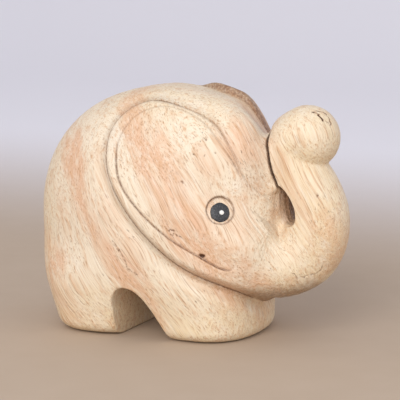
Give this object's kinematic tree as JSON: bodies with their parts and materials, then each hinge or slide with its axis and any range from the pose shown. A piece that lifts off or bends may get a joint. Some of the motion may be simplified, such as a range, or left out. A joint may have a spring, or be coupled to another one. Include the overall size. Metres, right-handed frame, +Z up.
{
  "type": "elephant figurine",
  "caption": "Small carved wooden elephant that stands on flat-soled feet, with a curled raised trunk, large ears in low relief and painted eyes.",
  "frame": {"origin": "on the ground, under the middle of the figure's bounding box", "axes": "+X forward, towards the trunk; +Y to the elephant's left; +Z up"},
  "size_m": [0.115, 0.0656, 0.0869],
  "materials": {
    "pale_wood": "bare pale wood, rubbed to a soft sheen",
    "black_enamel": "glossy hand-painted enamel",
    "white_enamel": "glossy hand-painted enamel"
  },
  "bodies": {
    "root": {"carved_body": "pale_wood", "right_eye_iris": "black_enamel", "right_eye_glint": "white_enamel", "left_eye_iris": "black_enamel", "left_eye_glint": "white_enamel"}
  },
  "joints": []
}
